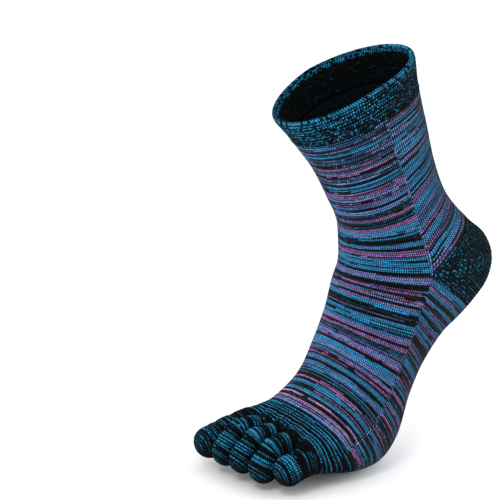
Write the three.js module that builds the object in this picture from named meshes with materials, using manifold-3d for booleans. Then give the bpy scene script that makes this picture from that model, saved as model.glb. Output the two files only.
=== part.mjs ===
// A left toe sock in its worn form, on tiptoe: cuff, striped leg and foot, heel pocket,
// forefoot and five toe pockets, each a hollow knitted wall.
// Millimetres. +Z is up the leg, the toes point to -X and the little toe lies on the -Y side.
// The origin is the centre of the leg opening.
import * as THREE from "three";
import { mergeVertices } from "three/addons/utils/BufferGeometryUtils.js";
import Module from "manifold-3d";

// Driving sizes
const sockDrop = 248; // leg opening's centre down to the sole under the ball
const sockReach = 200; // toe tips to the back of the heel, seen from the side
const ballWidth = 90; // across the ball of the foot
const cuffHeight = 22; // rim to the cuff's lower edge, down the side
const cuffWall = 2.8; // two layers of rib knit
const cuffRidges = 4; // raised rows round the cuff
const cuffRidgeDepth = 0.5;
const knitWall = 1.4; // one layer of knit
const heelTopAngle = 38; // degrees above level, from the heel corner to the heel's upper edge
const heelBottomAngle = 36; // degrees below level, to its lower edge
const toeLength = 28; // root to the middle of the tip, second toe
const toeThickness = 18; // top to underside
const toeOverlap = 12; // stretch of each toe that starts inside the forefoot
const toeStartShare = 0.6; // how wide that stretch begins
const toeFoldDepth = 0.8; // cross folds where the toes bend
const seamGap = 0.3; // clearance between neighbouring pieces

// Facets
const legFacets = 32;
const toeFacets = 12;
const toeRings = 8; // root to tip
const domeRings = 2;
const rimRings = 4;
const ridgeRings = 3;

// The courses of knitting from the rim to the toe roots, as the side view shows them.
// Each is a closed curve through a front, a side and a back point. x is a share of sockReach,
// z of sockDrop, half the width as a share of ballWidth, and square is the curve's squareness.
const courses = [
  { front: [-0.227, -0.085], side: [-0.007, 0.012], back: [0.212, 0.085], half: 0.468, square: 2,
    name: "rim" },
  { front: [-0.152, -0.153], side: [0.028, -0.083], back: [0.243, -0.015], half: 0.414, square: 2 },
  { front: [-0.083, -0.223], side: [0.072, -0.163], back: [0.276, -0.107], half: 0.389, square: 2 },
  { front: [-0.03, -0.3], side: [0.116, -0.24], back: [0.308, -0.202], half: 0.377, square: 2 },
  { front: [0.008, -0.365], side: [0.154, -0.319], back: [0.362, -0.294], half: 0.364, square: 2 },
  { front: [0.01, -0.418], side: [0.197, -0.413], back: [0.461, -0.377], half: 0.368, square: 2 },
  { front: [0.011, -0.426], side: [0.202, -0.425], back: [0.526, -0.421], half: 0.37, square: 2 },
  { front: [0.011, -0.434], side: [0.206, -0.436], back: [0.56, -0.483], half: 0.372, square: 2 },
  { front: [0.011, -0.442], side: [0.21, -0.448], back: [0.542, -0.547], half: 0.373, square: 2 },
  { front: [0.01, -0.45], side: [0.214, -0.46], back: [0.486, -0.598], half: 0.375, square: 2 },
  { front: [0.008, -0.458], side: [0.218, -0.471], back: [0.421, -0.641], half: 0.377, square: 2 },
  { front: [0.007, -0.466], side: [0.22, -0.483], back: [0.352, -0.68], half: 0.378, square: 2,
    name: "heel corner" },
  { front: [-0.01, -0.506], side: [0.184, -0.552], back: [0.254, -0.771], half: 0.387, square: 2 },
  { front: [-0.026, -0.581], side: [0.138, -0.63], back: [0.185, -0.869], half: 0.413, square: 2 },
  { front: [-0.043, -0.655], side: [0.07, -0.725], back: [0.138, -0.96], half: 0.448, square: 2.1 },
  { front: [-0.075, -0.75], side: [-0.018, -0.825], back: [0.072, -0.986], half: 0.48, square: 2.3 },
  { front: [-0.158, -0.817], side: [-0.122, -0.878], back: [-0.034, -0.986], half: 0.502, square: 2.4,
    name: "toe seam" },
  { front: [-0.198, -0.831], side: [-0.173, -0.887], back: [-0.12, -0.97], half: 0.5, square: 2.7 },
  { front: [-0.235, -0.847], side: [-0.222, -0.893], back: [-0.205, -0.956], half: 0.495, square: 3.0,
    name: "toe root" },
];

// The toes. across and halfWidth are shares of ballWidth, the root's x and z of sockReach and
// sockDrop, knuckle and tip are shares of toeLength forward and down from the root,
// thickness is a share of toeThickness, and folds counts the cross folds.
const toes = [
  { name: "toe_1_big", across: 0.389, halfWidth: 0.114, root: [-0.205, -0.887],
    knuckle: [0.75, 0.143], tip: [1.254, 0.311], thickness: 1.1, folds: 3 },
  { name: "toe_2_long", across: 0.178, halfWidth: 0.092, root: [-0.24, -0.881],
    knuckle: [0.604, -0.018], tip: [0.95, 0.382], thickness: 1.0, folds: 3 },
  { name: "toe_3_middle", across: -0.011, halfWidth: 0.092, root: [-0.235, -0.881],
    knuckle: [0.55, 0.007], tip: [0.889, 0.382], thickness: 1.0, folds: 3 },
  { name: "toe_4_ring", across: -0.203, halfWidth: 0.094, root: [-0.235, -0.882],
    knuckle: [0.475, 0.068], tip: [0.732, 0.418], thickness: 1.04, folds: 2 },
  { name: "toe_5_little", across: -0.402, halfWidth: 0.099, root: [-0.218, -0.9],
    knuckle: [0.268, 0.036], tip: [0.589, 0.15], thickness: 1.06, folds: 2 },
];

const wasm = await Module();
wasm.setup();

const rowOf = (name) => courses.findIndex((course) => course.name === name);
const lastRow = courses.length - 1;

// A point of the side view, in millimetres from the centre of the leg opening
function sidePoint([x, z], y = 0) {
  const rim = courses[rowOf("rim")];
  const middle = rim.front.map((share, i) => (share + rim.back[i]) / 2);
  return new THREE.Vector3((x - middle[0]) * sockReach, y, (z - middle[1]) * sockDrop);
}

const frontLine = new THREE.CatmullRomCurve3(courses.map((c) => sidePoint(c.front)));
const backLine = new THREE.CatmullRomCurve3(courses.map((c) => sidePoint(c.back)));
const sideLine = new THREE.CatmullRomCurve3(courses.map((c) => sidePoint(c.side, -c.half * ballWidth)));

// A point of the outer surface: two half curves meet at the side line.
// Angle 0 is the front, a quarter turn is the little-toe side.
function surfacePoint(row, angle) {
  const side = sideLine.getPoint(row / lastRow);
  const ahead = Math.cos(angle);
  const end = (ahead >= 0 ? frontLine : backLine).getPoint(row / lastRow);
  const below = Math.min(Math.floor(row), lastRow - 1);
  const square = THREE.MathUtils.lerp(courses[below].square, courses[below + 1].square, row - below);
  const reach = Math.abs(ahead) ** (2 / square);
  const across = Math.sign(Math.sin(angle)) * Math.abs(Math.sin(angle)) ** (2 / square);
  return new THREE.Vector3(
    THREE.MathUtils.lerp(side.x, end.x, reach),
    side.y * across,
    THREE.MathUtils.lerp(side.z, end.z, reach),
  );
}

// The outward direction there, from the two ways along the surface
function surfaceNormal(row, angle) {
  const rowStep = 0.05;
  const angleStep = 0.02;
  const upper = surfacePoint(Math.max(row - rowStep, 0), angle);
  const lower = surfacePoint(Math.min(row + rowStep, lastRow), angle);
  const before = surfacePoint(row, angle - angleStep);
  const after = surfacePoint(row, angle + angleStep);
  return lower.sub(upper).cross(after.sub(before)).normalize();
}

// The row that lies a distance further down the side line
function rowPast(row, distance) {
  const step = 0.02;
  let at = row;
  let left = Math.abs(distance);
  while (left > 0) {
    const next = at + Math.sign(distance) * step;
    const length = sideLine.getPoint(at / lastRow).distanceTo(sideLine.getPoint(next / lastRow));
    at += Math.sign(distance) * step * Math.min(1, left / length);
    left -= length;
  }
  return at;
}

// One course as a ring of points, set in from the outer surface by inset
function courseRing(row, inset) {
  return Array.from({ length: legFacets }, (_, i) => {
    const angle = (2 * Math.PI * i) / legFacets;
    return surfacePoint(row, angle).addScaledVector(surfaceNormal(row, angle), -inset);
  });
}

// A skin over a list of rings. Without cap points the last ring joins the first.
function skin(rings, caps = []) {
  const around = rings[0].length;
  const points = rings.flat();
  const index = [];
  const joined = caps.length ? rings.length - 1 : rings.length;
  for (let r = 0; r < joined; r += 1) {
    const next = (r + 1) % rings.length;
    for (let i = 0; i < around; i += 1) {
      const j = (i + 1) % around;
      const [a, b, c, d] = [r * around + i, r * around + j, next * around + j, next * around + i];
      index.push(a, c, b, a, d, c);
    }
  }
  if (caps.length) {
    const first = points.push(caps[0]) - 1;
    const last = points.push(caps[1]) - 1;
    const end = (rings.length - 1) * around;
    for (let i = 0; i < around; i += 1) {
      const j = (i + 1) % around;
      index.push(first, i, j, last, end + j, end + i);
    }
  }
  const geometry = new THREE.BufferGeometry();
  geometry.setAttribute("position", new THREE.Float32BufferAttribute(points.flatMap((p) => p.toArray()), 3));
  geometry.setIndex(index);
  return geometry;
}

const centreOf = (ring) => ring.reduce((sum, p) => sum.add(p), new THREE.Vector3()).divideScalar(ring.length);

function toSolid(geometry) {
  const bare = geometry.clone();
  bare.deleteAttribute("normal");
  bare.deleteAttribute("uv");
  const merged = mergeVertices(bare, 1e-4);
  return new wasm.Manifold(new wasm.Mesh({
    numProp: 3,
    vertProperties: new Float32Array(merged.attributes.position.array),
    triVerts: new Uint32Array(merged.index.array),
  }));
}

function toGeometry(solid) {
  const mesh = solid.getMesh();
  const geometry = new THREE.BufferGeometry();
  geometry.setAttribute("position", new THREE.BufferAttribute(new Float32Array(mesh.vertProperties), 3));
  geometry.setIndex(new THREE.BufferAttribute(new Uint32Array(mesh.triVerts), 1));
  geometry.computeVertexNormals();
  return geometry;
}

// Everything in front of a plane that stands across the sock, as one big block.
// The plane passes through point and faces along the direction (forwardX, forwardZ).
function blockAhead(point, forward) {
  const size = 4 * Math.max(sockDrop, sockReach, ballWidth);
  const block = new THREE.BoxGeometry(size, size, size);
  block.translate(size / 2, 0, 0);
  block.rotateY(-Math.atan2(forward.z, forward.x));
  block.translate(point.x, 0, point.z);
  return toSolid(block);
}

// The plane through a course's front and back points, moved forward towards the toes
function coursePlane(row, moved) {
  const front = frontLine.getPoint(row / lastRow);
  const back = backLine.getPoint(row / lastRow);
  const forward = new THREE.Vector3(front.z - back.z, 0, back.x - front.x).normalize().negate();
  return { point: front.clone().addScaledVector(forward, moved), forward };
}

const toeward = (row, moved) => {
  const { point, forward } = coursePlane(row, moved);
  return blockAhead(point, forward);
};

const heelward = (row, moved) => {
  const { point, forward } = coursePlane(row, moved);
  return blockAhead(point, forward.negate());
};

// The wedge across the heel that opens backwards from the heel corner, grown by margin
function heelWedge(margin) {
  const corner = sideLine.getPoint(rowOf("heel corner") / lastRow);
  const top = THREE.MathUtils.degToRad(heelTopAngle);
  const bottom = THREE.MathUtils.degToRad(heelBottomAngle);
  const apex = margin / Math.sin((top + bottom) / 2);
  const length = 2 * sockReach;
  const outline = new THREE.Shape();
  outline.moveTo(-apex, 0);
  outline.lineTo(length * Math.cos(bottom), -length * Math.sin(bottom));
  outline.lineTo(length * Math.cos(top), length * Math.sin(top));
  const wedge = new THREE.ExtrudeGeometry(outline, { depth: 2 * ballWidth, bevelEnabled: false });
  wedge.rotateX(Math.PI / 2);
  wedge.translate(corner.x, ballWidth, corner.z);
  return toSolid(wedge);
}

// The cuff: a doubled band with raised rows outside and a rolled rim
function cuffGeometry(lowestRow) {
  const roll = cuffWall / 2;
  const rollRow = rowPast(0, roll);
  const rings = [];
  const ring = (row, inset, rise) => courseRing(row, inset).map((point, i) => {
    const angle = (2 * Math.PI * i) / legFacets;
    const up = surfacePoint(0, angle).sub(surfacePoint(rollRow, angle)).normalize();
    return point.addScaledVector(up, rise);
  });
  const steps = cuffRidges * ridgeRings;
  for (let i = 0; i <= steps; i += 1) {
    const row = THREE.MathUtils.lerp(lowestRow, rollRow, i / steps);
    const wave = (1 - Math.cos((2 * Math.PI * i) / ridgeRings)) / 2;
    rings.push(ring(row, cuffRidgeDepth * (1 - wave), 0));
  }
  for (let i = 1; i <= rimRings; i += 1) {
    const turn = (Math.PI * i) / (rimRings + 1);
    rings.push(ring(rollRow, roll * (1 - Math.cos(turn)), roll * Math.sin(turn)));
  }
  rings.push(ring(rollRow, cuffWall, 0));
  rings.push(ring((rollRow + lowestRow) / 2, cuffWall, 0));
  rings.push(ring(lowestRow, cuffWall, 0));
  return skin(rings.reverse());
}

// The closed body of leg, heel, foot and forefoot, set in by inset, from row to row
function legBody(firstRow, endRow, inset) {
  const rows = [firstRow];
  for (let row = Math.ceil(firstRow * 2 + 0.2) / 2; row < endRow - 0.1; row += 0.5) rows.push(row);
  rows.push(endRow);
  const rings = rows.map((row) => courseRing(row, inset));
  return toSolid(skin(rings, [centreOf(rings[0]), centreOf(rings[rings.length - 1])]));
}

// One toe: a bent tube with a domed tip, set in by inset
function toeBody(toe, inset) {
  const y = toe.across * ballWidth;
  const root = sidePoint(toe.root, y);
  const stretch = ([ahead, down]) => {
    return new THREE.Vector3(-ahead, 0, -down).multiplyScalar(toeLength).add(root);
  };
  const start = root.clone().add(new THREE.Vector3(toeOverlap, 0, 0));
  const line = new THREE.CatmullRomCurve3([start, root, stretch(toe.knuckle), stretch(toe.tip)]);
  const halfWidth = toe.halfWidth * ballWidth - seamGap / 2 - inset;
  const halfThick = (toe.thickness * toeThickness) / 2 - inset;
  const across = new THREE.Vector3(0, 1, 0);
  const ringAt = (centre, tangent, scale) => {
    const up = new THREE.Vector3().crossVectors(across, tangent);
    return Array.from({ length: toeFacets }, (_, i) => {
      const angle = (2 * Math.PI * i) / toeFacets;
      return centre.clone()
        .addScaledVector(across, halfWidth * scale * Math.cos(angle))
        .addScaledVector(up, halfThick * scale * Math.sin(angle));
    });
  };
  const rings = [ringAt(start, line.getTangent(0), toeStartShare)];
  for (let i = 0; i <= toeRings; i += 1) {
    const past = i / toeRings;
    const t = THREE.MathUtils.lerp(1 / 3, 1, past);
    const fold = (toeFoldDepth * (1 - Math.cos(2 * Math.PI * toe.folds * past))) / 2;
    rings.push(ringAt(line.getPoint(t), line.getTangent(t), 1 - fold / halfThick));
  }
  const tip = line.getPoint(1);
  const ahead = line.getTangent(1);
  for (let i = 1; i <= domeRings; i += 1) {
    const turn = (Math.PI / 2) * (i / (domeRings + 1));
    rings.push(ringAt(tip.clone().addScaledVector(ahead, halfThick * Math.sin(turn)), ahead, Math.cos(turn)));
  }
  return toSolid(skin(rings, [start, tip.clone().addScaledVector(ahead, halfThick)]));
}

// The strip of space that holds one toe and no other
function toeStrip(toe) {
  const size = 2 * (sockDrop + sockReach);
  const strip = new THREE.BoxGeometry(size, 2 * toe.halfWidth * ballWidth, size);
  strip.translate(0, toe.across * ballWidth, 0);
  return toSolid(strip);
}

const together = (solids) => solids.reduce((sum, solid) => sum.add(solid));

// One wall from the cuff's lower edge to the toe tips, then parted along its seams
const cuffRow = rowPast(rowOf("rim"), cuffHeight);
const legRow = rowPast(cuffRow, seamGap);
const seamRow = rowOf("toe seam");
const rootRow = rowOf("toe root");
const webRow = rowPast(rootRow, -knitWall);
const outside = together([legBody(legRow, rootRow, 0), ...toes.map((toe) => toeBody(toe, 0))]);
const hollow = together([
  legBody(rowPast(legRow, -2 * cuffWall), webRow, knitWall),
  ...toes.map((toe) => toeBody(toe, knitWall)),
]);
const wall = outside.subtract(hollow);
const striped = wall.intersect(heelward(seamRow, -seamGap / 2));
const front = wall.intersect(toeward(seamRow, seamGap / 2));
const toeEnds = front.intersect(toeward(rootRow, 2 * seamGap));

const colours = {
  cuff: "#1d3d49",
  striped: "#6f86b8",
  heel: "#17323d",
  forefoot: "#14303c",
  toe: "#1a5f7d",
};

function piece(name, geometry, colour) {
  const material = new THREE.MeshStandardMaterial({ color: colour, roughness: 0.95, metalness: 0 });
  const mesh = new THREE.Mesh(geometry, material);
  mesh.name = name;
  return mesh;
}

const toeSock = new THREE.Group();
toeSock.add(piece("cuff", cuffGeometry(cuffRow), colours.cuff));
toeSock.add(piece("leg_and_foot", toGeometry(striped.subtract(heelWedge(seamGap))), colours.striped));
toeSock.add(piece("heel_pocket", toGeometry(striped.intersect(heelWedge(0))), colours.heel));
toeSock.add(piece("forefoot", toGeometry(front.intersect(heelward(rootRow, seamGap))), colours.forefoot));
for (const toe of toes) {
  toeSock.add(piece(toe.name, toGeometry(toeEnds.intersect(toeStrip(toe))), colours.toe));
}

export default toeSock;
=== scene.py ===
# %% [markdown]
# # A toe sock, knitted course by course
# The sock is plain knit worn on a foot, so its form is a tube that follows the foot and its
# look is thousands of small stitches in stripes of dyed yarn. A sculpted mesh with a painted
# picture would lose the stitches in a close view. Here the mesh itself is the knitting: three
# columns of the grid make a wale, a row is one course, and every stitch has its own colour.

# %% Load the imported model
import bpy
import numpy as np
from mathutils import Matrix, Vector


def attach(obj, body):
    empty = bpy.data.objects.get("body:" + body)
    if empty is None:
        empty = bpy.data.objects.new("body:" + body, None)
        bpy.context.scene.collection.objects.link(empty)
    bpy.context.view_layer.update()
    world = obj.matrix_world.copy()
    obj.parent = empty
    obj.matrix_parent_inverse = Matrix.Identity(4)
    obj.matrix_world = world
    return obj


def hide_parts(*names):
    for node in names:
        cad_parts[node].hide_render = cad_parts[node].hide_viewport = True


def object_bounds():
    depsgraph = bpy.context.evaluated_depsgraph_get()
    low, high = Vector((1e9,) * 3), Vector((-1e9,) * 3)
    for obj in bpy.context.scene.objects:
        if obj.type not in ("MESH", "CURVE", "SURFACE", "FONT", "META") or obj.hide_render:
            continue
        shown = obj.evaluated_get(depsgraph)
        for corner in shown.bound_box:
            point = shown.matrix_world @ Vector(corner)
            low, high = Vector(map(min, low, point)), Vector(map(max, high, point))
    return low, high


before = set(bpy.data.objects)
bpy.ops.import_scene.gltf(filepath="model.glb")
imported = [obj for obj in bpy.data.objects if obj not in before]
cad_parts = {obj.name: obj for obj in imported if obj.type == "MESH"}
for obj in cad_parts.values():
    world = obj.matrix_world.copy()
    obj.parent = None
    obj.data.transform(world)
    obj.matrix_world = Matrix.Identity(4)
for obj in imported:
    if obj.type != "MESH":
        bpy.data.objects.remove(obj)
MM = 0.001
cad_box = [[float(v) for v in corner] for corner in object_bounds()]
random = np.random.default_rng(7)
print("packed nodes:", sorted(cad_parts))

# %% [markdown]
# ## The surface that the courses lie on
# A worn sock has no straight section, but each course of knitting is a closed loop, so the
# surface is a stack of loops. Three smooth lines run down the front, the side and the back,
# and a loop joins them with a rounded curve. The tables are those of the solid model, in
# shares of its drop, reach and width, so the knit lies where the solids lie. A subdivided
# cage could follow the foot too, but its rows wouldn't be courses.

# %% Sizes and the table of courses
DROP, REACH, WIDTH = 248.0, 200.0, 90.0  # mm: down to the sole, toe tips to heel, across the ball
CUFF_HEIGHT, WALL, CUFF_WALL = 22.0, 1.4, 2.8  # mm
HEEL_TOP, HEEL_BOTTOM = 38.0, -36.0  # degrees of the heel's edges, from level
TOE_LENGTH, TOE_THICKNESS = 28.0, 18.0  # mm
HEEL_ROW, SEAM_ROW, ROOT_ROW = 11.0, 16.0, 18.0
# front x, z, side x, z, back x, z, half width, squareness
COURSES = np.array([
    (-0.227, -0.085, -0.007, 0.012, 0.212, 0.085, 0.468, 2.0),
    (-0.152, -0.153, 0.028, -0.083, 0.243, -0.015, 0.414, 2.0),
    (-0.083, -0.223, 0.072, -0.163, 0.276, -0.107, 0.389, 2.0),
    (-0.030, -0.300, 0.116, -0.240, 0.308, -0.202, 0.377, 2.0),
    (0.008, -0.365, 0.154, -0.319, 0.362, -0.294, 0.364, 2.0),
    (0.010, -0.418, 0.197, -0.413, 0.461, -0.377, 0.368, 2.0),
    (0.011, -0.426, 0.202, -0.425, 0.526, -0.421, 0.370, 2.0),
    (0.011, -0.434, 0.206, -0.436, 0.560, -0.483, 0.372, 2.0),
    (0.011, -0.442, 0.210, -0.448, 0.542, -0.547, 0.373, 2.0),
    (0.010, -0.450, 0.214, -0.460, 0.486, -0.598, 0.375, 2.0),
    (0.008, -0.458, 0.218, -0.471, 0.421, -0.641, 0.377, 2.0),
    (0.007, -0.466, 0.220, -0.483, 0.352, -0.680, 0.378, 2.0),
    (-0.010, -0.506, 0.184, -0.552, 0.254, -0.771, 0.387, 2.0),
    (-0.026, -0.581, 0.138, -0.630, 0.185, -0.869, 0.413, 2.0),
    (-0.043, -0.655, 0.070, -0.725, 0.138, -0.960, 0.448, 2.1),
    (-0.075, -0.750, -0.018, -0.825, 0.072, -0.986, 0.480, 2.3),
    (-0.158, -0.817, -0.122, -0.878, -0.034, -0.986, 0.502, 2.4),
    (-0.198, -0.831, -0.173, -0.887, -0.120, -0.970, 0.500, 2.7),
    (-0.235, -0.847, -0.222, -0.893, -0.205, -0.956, 0.495, 3.0),
])
RIM_MIDDLE = (COURSES[0, 0:2] + COURSES[0, 4:6]) / 2


def side_point(x, z, y):
    """A point of the side view in mm: its shares of reach and drop, from the rim's middle."""
    return np.stack([(x - RIM_MIDDLE[0]) * REACH, y, (z - RIM_MIDDLE[1]) * DROP], -1)


NO_WIDTH = np.zeros(len(COURSES))
FRONT = side_point(COURSES[:, 0], COURSES[:, 1], NO_WIDTH)
SIDE = side_point(COURSES[:, 2], COURSES[:, 3], -COURSES[:, 6] * WIDTH)
BACK = side_point(COURSES[:, 4], COURSES[:, 5], NO_WIDTH)
print("courses in the table:", len(COURSES))

# %% The surface as a function of row and angle


def curve(points, at):
    """A smooth line through points at places 0, 1, 2 and on: between two points a cubic whose
    slopes weigh the neighbours by the square root of their distance."""
    last = len(points) - 1
    low = np.clip(np.floor(at).astype(int), 0, last - 1)
    w = (at - low)[..., None]
    more = np.vstack([2 * points[0] - points[1], points, 2 * points[-1] - points[-2]])
    a, b, c, d = more[low], more[low + 1], more[low + 2], more[low + 3]

    def pace(p, q):
        """The square root of the distance between two points."""
        return np.maximum(((p - q) ** 2).sum(-1, keepdims=True) ** 0.25, 1e-9)

    before, here, after = pace(a, b), pace(b, c), pace(c, d)
    start = ((b - a) / before - (c - a) / (before + here) + (c - b) / here) * here
    end = ((c - b) / here - (d - b) / (here + after) + (d - c) / after) * here
    return b + start * w + (3 * (c - b) - 2 * start - end) * w**2 + (2 * (b - c) + start + end) * w**3


def signed_power(value, power):
    """The size of a value to a power, with the value's own sign."""
    return np.sign(value) * np.abs(value) ** power


def surface(row, angle):
    """Angle 0 is the front, a quarter turn the little-toe side. The reach from the side line
    to the front or back line is the cosine to the power 2 / squareness, the width the sine."""
    row, angle = np.broadcast_arrays(np.asarray(row, float), np.asarray(angle, float))
    side = curve(SIDE, row)
    end = np.where((np.cos(angle) >= 0)[..., None], curve(FRONT, row), curve(BACK, row))
    power = 2 / np.interp(row, np.arange(len(COURSES)), COURSES[:, 7])
    reach = np.abs(np.cos(angle)) ** power
    point = side + (end - side) * reach[..., None]
    point[..., 1] = side[..., 1] * signed_power(np.sin(angle), power)
    return point


def outward(row, angle, row_step=0.05, turn=0.02):
    """The unit normal: the way down the sock crossed with the way round it."""
    below, above = np.minimum(row + row_step, ROOT_ROW), np.maximum(row - row_step, 0)
    down = surface(below, angle) - surface(above, angle)
    round_it = surface(row, angle + turn) - surface(row, angle - turn)
    normal = np.cross(down, round_it)
    return normal / np.linalg.norm(normal, axis=-1, keepdims=True)


FINE = np.linspace(0, ROOT_ROW, 1801)  # a hundredth of a row apart
DOWN_SIDE = np.append(0, np.cumsum(np.linalg.norm(np.diff(curve(SIDE, FINE), axis=0), axis=1)))


def row_at(millimetres):
    """The row that lies so far down the side line."""
    return np.interp(millimetres, DOWN_SIDE, FINE)


HEEL_AT, SEAM_AT, ROOT_AT = np.interp([HEEL_ROW, SEAM_ROW, ROOT_ROW], FINE, DOWN_SIDE)
print(f"side line: heel at {HEEL_AT:.0f} mm, toe seam {SEAM_AT:.0f} mm, toe roots {ROOT_AT:.0f} mm")

# %% [markdown]
# ## Where the heel is let in
# The heel pocket is knitted from its own yarn between two straight edges that meet at the
# side line. The courses of the leg's back crowd down to the upper edge and those of the sole
# start from the lower one, so the rows of the grid are spaced evenly down each column
# between two limits. Evenly spaced rows keep every stitch about the same size.

# %% Heel edges and evenly spaced rows
CORNER = curve(SIDE, np.array(HEEL_ROW))
UPPER_BETWEEN, LOWER_BETWEEN = (0.5, HEEL_ROW), (6.0, 15.0)  # rows that an edge lies between
HALVINGS, LENGTH_STEPS = 30, 240  # to find an edge, and to measure a column


def heel_edge(angle, degrees, between):
    """The row where each column meets the plane through the heel's corner that rises
    backwards by degrees, found by halving the stretch between two rows."""
    slope = np.radians(degrees)
    low, high = np.full(angle.shape, between[0]), np.full(angle.shape, between[1])
    for _ in range(HALVINGS):
        middle = (low + high) / 2
        point = surface(middle, angle) - CORNER
        above = point[:, 2] * np.cos(slope) > point[:, 0] * np.sin(slope)
        low, high = np.where(above, middle, low), np.where(above, high, middle)
    return (low + high) / 2


def even_rows(first, last, angle, share):
    """Rows at the given shares of each column's length. All columns are looked up at once:
    the running lengths are laid end to end, two units apart."""
    steps = np.linspace(0, 1, LENGTH_STEPS)[:, None]
    rows = first + (last - first) * steps
    length = np.cumsum(np.linalg.norm(np.diff(surface(rows, angle), axis=0), axis=2), axis=0)
    length = np.vstack([np.zeros(len(angle)), length])
    column = 2.0 * np.arange(len(angle))
    known = (length / length[-1] + column).T.ravel()
    return np.interp(np.clip(share, 0, 1) + column, known, rows.T.ravel())


print("heel corner:", np.round(CORNER, 1), "mm")

# %% [markdown]
# ## Wales, courses and the shape of a stitch
# A knitted stitch is a V. Its columns, the wales, stand up as ribs with a groove between
# them, and its rows, the courses, zigzag because each V hangs in the one below. Three grid
# columns to a wale are enough: one vertex in the groove, pushed in and up, and two on the
# rib. The V's two strands are finer than a pixel, so the material draws one loop for both.

# %% The knit's own sizes
WALES = 168  # stitches round the leg, as on such a machine: about 1.5 mm each when worn
SAMPLES = 3  # grid columns to a wale
COLUMNS = WALES * SAMPLES
COURSE = 0.8  # mm
GROOVE, CHEVRON = 0.3, 0.45  # mm deep, share of a course
COARSE = 6  # outer rows or columns to one of the hidden inner wall
ANGLES = 2 * np.pi * np.arange(COLUMNS) / COLUMNS
IN_GROOVE = np.arange(COLUMNS) % SAMPLES == 0
BACK_HALF = np.cos(ANGLES) < 0


def courses_between(first_mm, last_mm):
    """The whole number of courses that fits best into a length."""
    return int(round((last_mm - first_mm) / COURSE))


def knit(row, lift=0.0):
    """Grid points in mm: the surface, moved out by lift and in by the groove between wales."""
    angle = np.broadcast_to(ANGLES, row.shape)
    depth = lift - GROOVE * IN_GROOVE
    return surface(row, angle) + outward(row, angle) * depth[..., None]


def knit_rows(count, front, back):
    """Rows for count courses. front and back give the rows for shares of the way, and points
    in the grooves lie higher by the chevron, so that each course zigzags."""
    share = (np.arange(count + 1)[:, None] - CHEVRON * IN_GROOVE) / count
    share[0], share[-1] = 0, 1
    row = front(share)
    row[:, BACK_HALF] = back(share[:, BACK_HALF])
    return row


LEG_AT = CUFF_HEIGHT - 0.2  # mm down, tucked behind the cuff's hem
leg_count, foot_count = courses_between(LEG_AT, HEEL_AT), courses_between(HEEL_AT, SEAM_AT)
back_angles = ANGLES[BACK_HALF]
upper_edge = heel_edge(back_angles, HEEL_TOP, UPPER_BETWEEN)
lower_edge = heel_edge(back_angles, HEEL_BOTTOM, LOWER_BETWEEN)
leg_rows = knit_rows(
    leg_count,
    lambda share: row_at(LEG_AT + share * (HEEL_AT - LEG_AT)),
    lambda share: even_rows(row_at(LEG_AT), upper_edge, back_angles, share),
)
foot_rows = knit_rows(
    foot_count,
    lambda share: row_at(HEEL_AT + share * (SEAM_AT - HEEL_AT)),
    lambda share: even_rows(lower_edge, SEAM_ROW, back_angles, share),
)
print("courses on the leg and the foot:", leg_count, foot_count)

# %% [markdown]
# ## Yarns and the stripe chart
# The yarn is dyed in lengths, so the stripes are uneven and each one is heathered with its
# neighbour in the dye. A knitter would write this as a chart: a letter for the yarn and how
# far it reaches. Front and back halves have their own chart, because their stripes are out
# of step and meet at the side lines. Each stitch then varies a little in brightness. Bands
# in a material would be quicker, but they can't follow the courses round the heel.

# %% Yarn colours


def linear(hex_colour):
    """An sRGB hex colour as linear light."""
    srgb = np.array([int(hex_colour[i : i + 2], 16) for i in (1, 3, 5)]) / 255
    return np.where(srgb <= 0.04045, srgb / 12.92, ((srgb + 0.055) / 1.055) ** 2.4)


# letter: colour, the yarn it is heathered with, how often
YARNS = {
    "k": ("#05080d", "n", 0.2),  # black
    "n": ("#0c2836", "t", 0.25),  # deep teal
    "t": ("#185a75", "a", 0.25),  # teal
    "a": ("#2389b2", "t", 0.3),  # aqua
    "c": ("#2b90c2", "b", 0.15),  # cyan
    "b": ("#4a79b4", "c", 0.3),  # periwinkle
    "l": ("#7f88c4", "b", 0.35),  # lavender
    "s": ("#35557c", "l", 0.25),  # slate
    "m": ("#745893", "b", 0.35),  # mauve
    "p": ("#a86ba6", "m", 0.4),  # pink
    "q": ("#c78fc5", "l", 0.3),  # light pink
    "r": ("#331c31", "k", 0.3),  # plum
}
LETTERS = "".join(YARNS)
BLACK, DEEP_TEAL, AQUA, CYAN = (LETTERS.index(letter) for letter in "knac")
COLOURS = np.array([linear(colour) for colour, _, _ in YARNS.values()])
PARTNER = np.array([LETTERS.index(other) for _, other, _ in YARNS.values()])
PARTNER_SHARE = np.array([share for _, _, share in YARNS.values()])
DYE_RUN, PARTNER_RUN, SHADE_RUN = 14, 9, 5  # mean stitches in a dyed length, for each effect
SINGLE_SHARE = 0.6  # of the partner's share that falls on single stitches
DARKEST, SHADE_SPAN = 0.7, 0.6  # of the darkest length, and how much brighter others are
MOST_LENGTHS = 997  # more dyed lengths than any course has


def stripes(chart, count):
    """The yarn of each of count courses, from a chart of letters and widths in mm. A letter
    alone is one course."""
    widths = np.array([float(word[1:] or COURSE) for word in chart.split()])
    letters = np.array([LETTERS.index(word[0]) for word in chart.split()])
    ends = np.cumsum(widths) / widths.sum()
    return letters[np.searchsorted(ends, (np.arange(count) + 0.5) / count)]


def lengths(shape, mean):
    """A number from 0 to 1 for each length of dyed yarn: it holds over mean stitches or so
    along a course, then jumps, because the yarn goes through the dye in lengths."""
    starts = random.random(shape) < 1 / mean
    which = np.cumsum(starts, axis=1) + MOST_LENGTHS * np.arange(shape[0])[:, None]
    return random.random(which.max() + 1)[which]


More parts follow.
